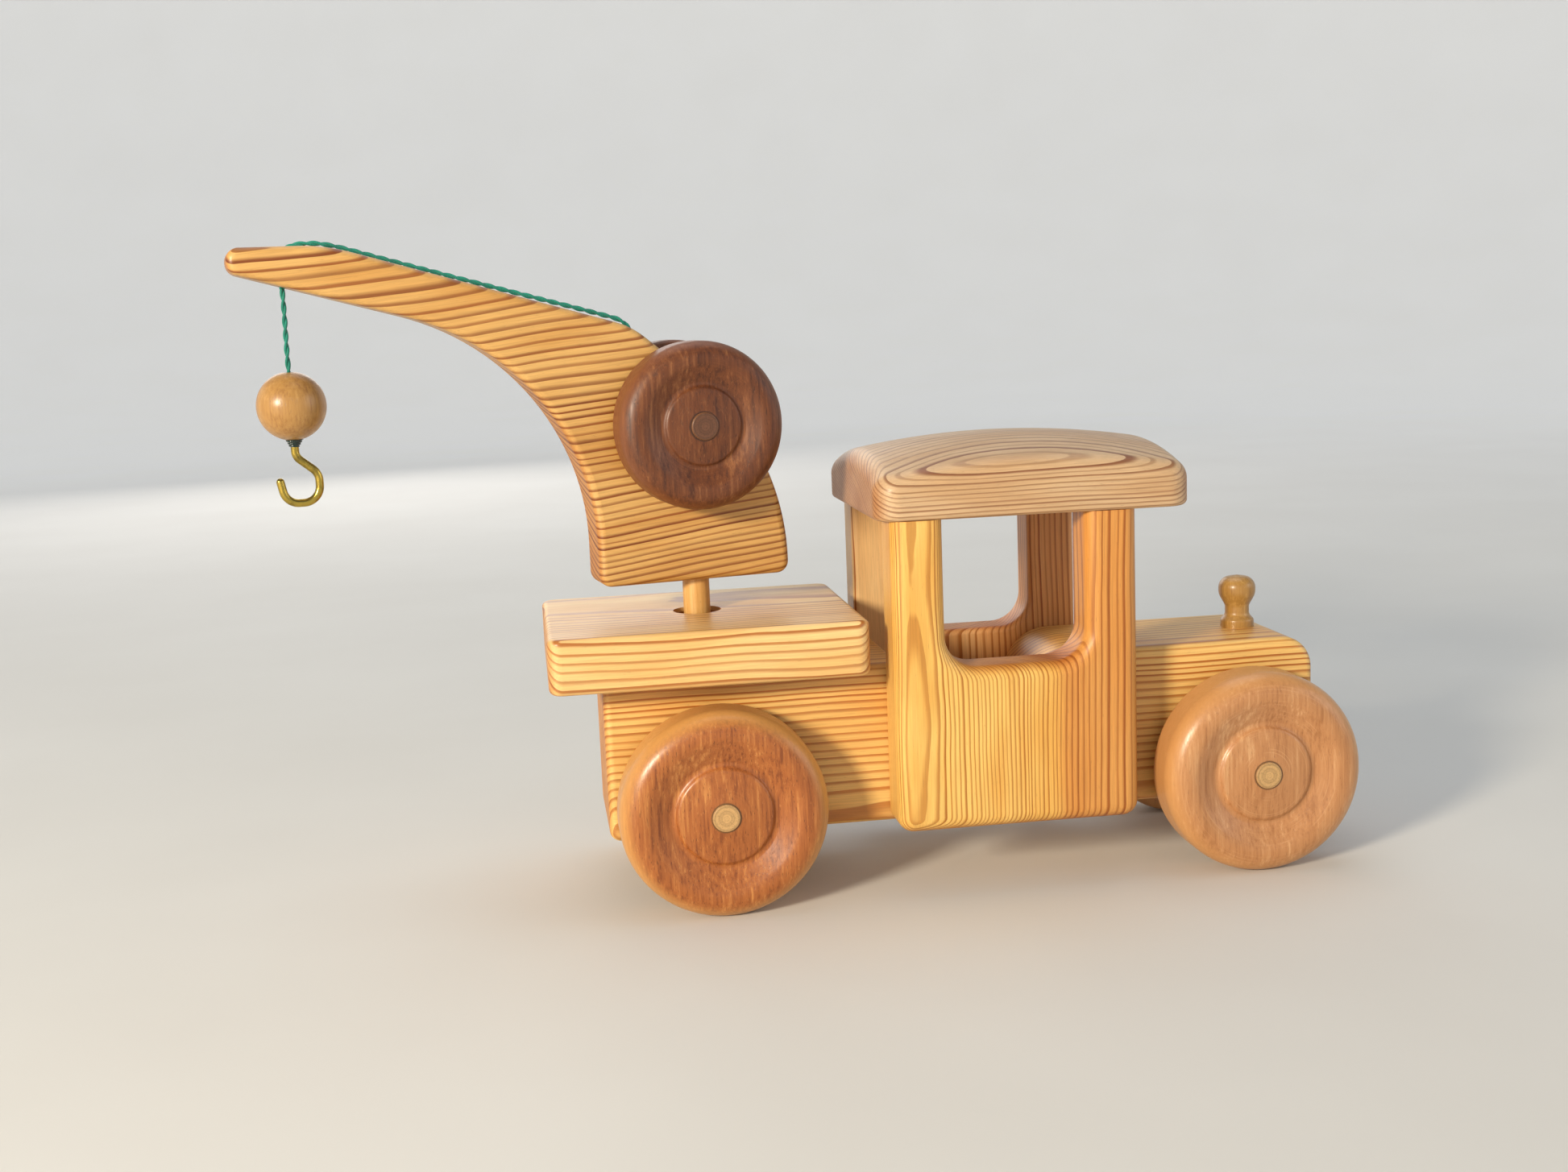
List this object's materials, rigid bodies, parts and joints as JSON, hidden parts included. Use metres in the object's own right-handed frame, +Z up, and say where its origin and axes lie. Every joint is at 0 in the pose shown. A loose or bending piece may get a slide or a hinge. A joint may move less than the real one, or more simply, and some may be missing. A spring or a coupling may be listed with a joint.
{
  "type": "wooden toy crane truck",
  "caption": "Wooden toy crane truck with rolling wheels, an open cab under a crowned roof, and a swivelling boom whose side wheels wind a cord that lifts a bead and hook.",
  "frame": {"origin": "on the ground under the middle of the whole object's box: midway from the boom's tip to the front of the front wheels, and midway between the wheels' outer faces", "axes": "+X towards the bonnet, along the truck; +Y towards the truck's left side; +Z up"},
  "size_m": [0.397, 0.108, 0.2427],
  "materials": {
    "pine": "oiled pine with strong brown growth lines, satin",
    "turned_birch": "turned, oiled golden brown",
    "dowel_wood": "pale dowel with open end grain",
    "dark_dowel": "dark dowel, worn smooth",
    "wheel_wood": "turned red-brown hardwood, satin",
    "dark_wheel_wood": "turned dark red-brown hardwood, satin",
    "cord": "twisted two-ply cord, matt",
    "glued_cord": "cord stiffened with glue, slight gloss",
    "bead_wood": "turned bead, oiled",
    "brass": "bent wire with light patina"
  },
  "bodies": {
    "truck": {"chassis_beam": "pine", "platform": "pine", "cab_side_right": "pine", "cab_side_left": "pine", "cab_roof": "pine", "radiator_cap": "turned_birch", "platform_pegs": "dowel_wood", "cab_side_pegs": "dowel_wood", "roof_pegs": "dowel_wood"},
    "front_wheels": {"front_axle": "dowel_wood", "front_wheel_right": "wheel_wood", "front_wheel_left": "wheel_wood"},
    "rear_wheels": {"rear_axle": "dowel_wood", "rear_wheel_right": "wheel_wood", "rear_wheel_left": "wheel_wood"},
    "crane": {"crane_boom": "pine", "crane_post": "dowel_wood", "line_on_boom": "cord"},
    "winch": {"winch_axle": "dark_dowel", "winch_wheel_right": "dark_wheel_wood", "winch_wheel_left": "dark_wheel_wood", "line_on_drum": "cord"},
    "hanging_line": {"line_hanging": "cord"},
    "hook_block": {"hook_bead": "bead_wood", "line_knot": "glued_cord", "hook": "brass"}
  },
  "joints": [
    {"name": "front_axle_spin", "type": "hinge", "parent": "truck", "child": "front_wheels", "pos_m": [0.161, 0, 0.0375], "axis": [0, 1, 0], "continuous": true},
    {"name": "rear_axle_spin", "type": "hinge", "parent": "truck", "child": "rear_wheels", "pos_m": [-0.039, 0, 0.0375], "axis": [0, 1, 0], "continuous": true},
    {"name": "crane_swivel", "type": "hinge", "parent": "truck", "child": "crane", "pos_m": [-0.041, 0, 0.116], "axis": [0, 0, 1], "range_deg": [-140, 120]},
    {"name": "winch_spin", "type": "hinge", "parent": "crane", "child": "winch", "pos_m": [-0.04238, -0.00024, 0.1735], "axis": [-0.1736, 0.9848, 0], "range_deg": [-210, 1450]},
    {"name": "line_swing", "type": "hinge", "parent": "crane", "child": "hanging_line", "pos_m": [-0.17956, -0.02443, 0.2275], "axis": [-0.1736, 0.9848, 0], "range_deg": [-12, 12]},
    {"name": "hook_hoist", "type": "slide", "parent": "hanging_line", "child": "hook_block", "axis": [0, 0, -1], "range_m": [-0.0215, 0.147], "deforming": ["line_hanging"]}
  ],
  "couplings": [
    {"joint": "hook_hoist", "follows": "winch_spin", "m_per_rad": 0.0058}
  ]
}
